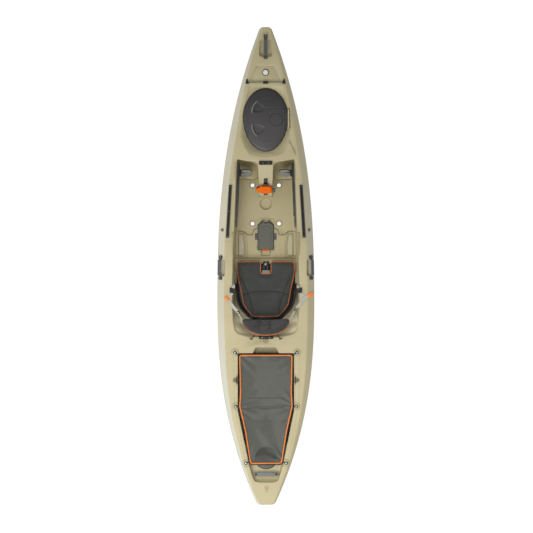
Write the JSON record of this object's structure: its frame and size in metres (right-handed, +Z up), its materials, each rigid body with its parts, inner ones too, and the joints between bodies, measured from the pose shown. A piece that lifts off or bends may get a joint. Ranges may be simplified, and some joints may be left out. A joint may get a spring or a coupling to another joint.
{
  "type": "sit-on-top fishing kayak",
  "caption": "Sit-on-top fishing kayak with moulded wells, hinged hatches, sliding foot braces, padded folding seat and covered tank well.",
  "frame": {"origin": "on the ground under the centre of the hull's bounding box", "axes": "+Y towards the bow, +X to starboard, +Z up"},
  "size_m": [0.7608, 3.73, 0.4202],
  "materials": {
    "polyethylene": "sand-coloured rotomoulded polyethylene",
    "black_nylon": "black moulded nylon",
    "grey_plastic": "charcoal moulded plastic",
    "grey_rubber": "grey rubber grip",
    "seal_foam": "black closed-cell seal",
    "orange_nylon": "orange moulded nylon",
    "stainless": "stainless steel",
    "seat_fabric": "charcoal woven seat fabric over foam",
    "mesh_fabric": "coated grey mesh",
    "webbing": "grey polyester webbing",
    "block_foam": "white closed-cell foam block",
    "white_plastic": "blank pale disc",
    "cord": "black shock cord"
  },
  "bodies": {
    "hull and fixed fittings": {"backrest_pin": "stainless", "bow_badge": "white_plastic", "bow_bungee": "cord", "bow_foam_block": "block_foam", "bow_handle": "grey_rubber", "bow_hatch_pin": "stainless", "bow_hatch_rim": "black_nylon", "bow_hatch_seal": "seal_foam", "bow_padeye_left": "black_nylon", "bow_padeye_right": "black_nylon", "bungee_hook": "black_nylon", "clip_track": "black_nylon", "console_plate": "grey_plastic", "cover_anchor_front_left": "stainless", "cover_anchor_front_right": "stainless", "cover_anchor_middle_left": "stainless", "cover_anchor_middle_right": "stainless", "cover_anchor_rear_left": "stainless", "cover_anchor_rear_right": "stainless", "foot_rail_left": "black_nylon", "foot_rail_right": "black_nylon", "gear_track_left": "black_nylon", "gear_track_right": "black_nylon", "hull": "polyethylene", "keel_skid_plate": "black_nylon", "midship_hatch_pin": "stainless", "midship_hatch_rim": "grey_plastic", "midship_hatch_seal": "seal_foam", "paddle_stud_left": "grey_plastic", "paddle_stud_right": "grey_plastic", "seat_base_pad": "seat_fabric", "seat_lift_strap": "black_nylon", "seat_pan": "black_nylon", "seat_rear_bracket": "black_nylon", "side_handle_left": "grey_rubber", "side_handle_right": "grey_rubber", "side_strap_left": "webbing", "side_strap_right": "webbing", "stern_handle": "grey_rubber", "stern_hatch_rim": "black_nylon", "strap_buckle_left": "black_nylon", "strap_buckle_right": "black_nylon", "strap_lead_left": "webbing", "strap_lead_right": "webbing", "tank_cover": "mesh_fabric"},
    "bow lid": {"bow_hatch_lid": "grey_plastic"},
    "midship lid": {"midship_hatch_lid": "grey_plastic"},
    "midship latch": {"midship_hatch_latch": "orange_nylon"},
    "pedal left": {"foot_carriage_left": "black_nylon", "foot_pedal_left": "grey_plastic"},
    "pedal right": {"foot_carriage_right": "black_nylon", "foot_pedal_right": "grey_plastic"},
    "lock handle left": {"foot_lock_left": "grey_plastic"},
    "lock handle right": {"foot_lock_right": "grey_plastic"},
    "backrest": {"backrest_frame": "black_nylon", "backrest_pad": "seat_fabric"},
    "clip": {"clip_body": "orange_nylon"},
    "clip knob": {"clip_knob": "grey_plastic"},
    "stern lid": {"stern_hatch_lid": "grey_plastic"},
    "drain plug": {"drain_plug": "grey_plastic"}
  },
  "joints": [
    {"name": "bow_hatch_hinge", "type": "hinge", "parent": "hull and fixed fittings", "child": "bow lid", "pos_m": [0.18, 1.15731, 0.33122], "axis": [0, 0.9976, 0.0688], "range_deg": [0, 115]},
    {"name": "midship_hatch_hinge", "type": "hinge", "parent": "hull and fixed fittings", "child": "midship lid", "pos_m": [0, 0.3497, 0.1041], "axis": [-1, 0, 0], "range_deg": [0, 105]},
    {"name": "midship_latch_hinge", "type": "hinge", "parent": "midship lid", "child": "midship latch", "pos_m": [0, 0.1225, 0.1046], "axis": [-1, 0, 0], "range_deg": [0, 80]},
    {"name": "pedal_slide_left", "type": "slide", "parent": "hull and fixed fittings", "child": "pedal left", "axis": [-0.0388, -0.9992, 0], "range_m": [-0.02, 0.3]},
    {"name": "pedal_slide_right", "type": "slide", "parent": "hull and fixed fittings", "child": "pedal right", "axis": [0.0388, -0.9992, 0], "range_m": [-0.02, 0.3]},
    {"name": "lock_handle_left", "type": "hinge", "parent": "hull and fixed fittings", "child": "lock handle left", "pos_m": [-0.22707, 0.3925, 0.21581], "axis": [-0.0388, -0.9992, 0], "range_deg": [0, 90]},
    {"name": "lock_handle_right", "type": "hinge", "parent": "hull and fixed fittings", "child": "lock handle right", "pos_m": [0.22707, 0.3925, 0.21581], "axis": [-0.0388, 0.9992, 0], "range_deg": [0, 90]},
    {"name": "backrest_hinge", "type": "hinge", "parent": "hull and fixed fittings", "child": "backrest", "pos_m": [0, -0.43, 0.155], "axis": [-1, 0, 0], "range_deg": [-8, 45], "deforming": ["side_strap_left", "side_strap_right"]},
    {"name": "clip_slide", "type": "slide", "parent": "hull and fixed fittings", "child": "clip", "axis": [0, 0.8882, 0.4594], "range_m": [-0.025, 0.06]},
    {"name": "clip_knob_turn", "type": "hinge", "parent": "clip", "child": "clip knob", "pos_m": [0.0493, 0.58861, 0.22632], "axis": [1, 0, 0], "continuous": true},
    {"name": "stern_lid_turn", "type": "hinge", "parent": "hull and fixed fittings", "child": "stern lid", "pos_m": [0, -1.498, 0.2723], "axis": [0, 0, 1], "range_deg": [0, 90]},
    {"name": "drain_plug_turn", "type": "hinge", "parent": "hull and fixed fittings", "child": "drain plug", "pos_m": [0, -1.741, 0.32441], "axis": [0, 0.0451, 0.999], "continuous": true}
  ]
}
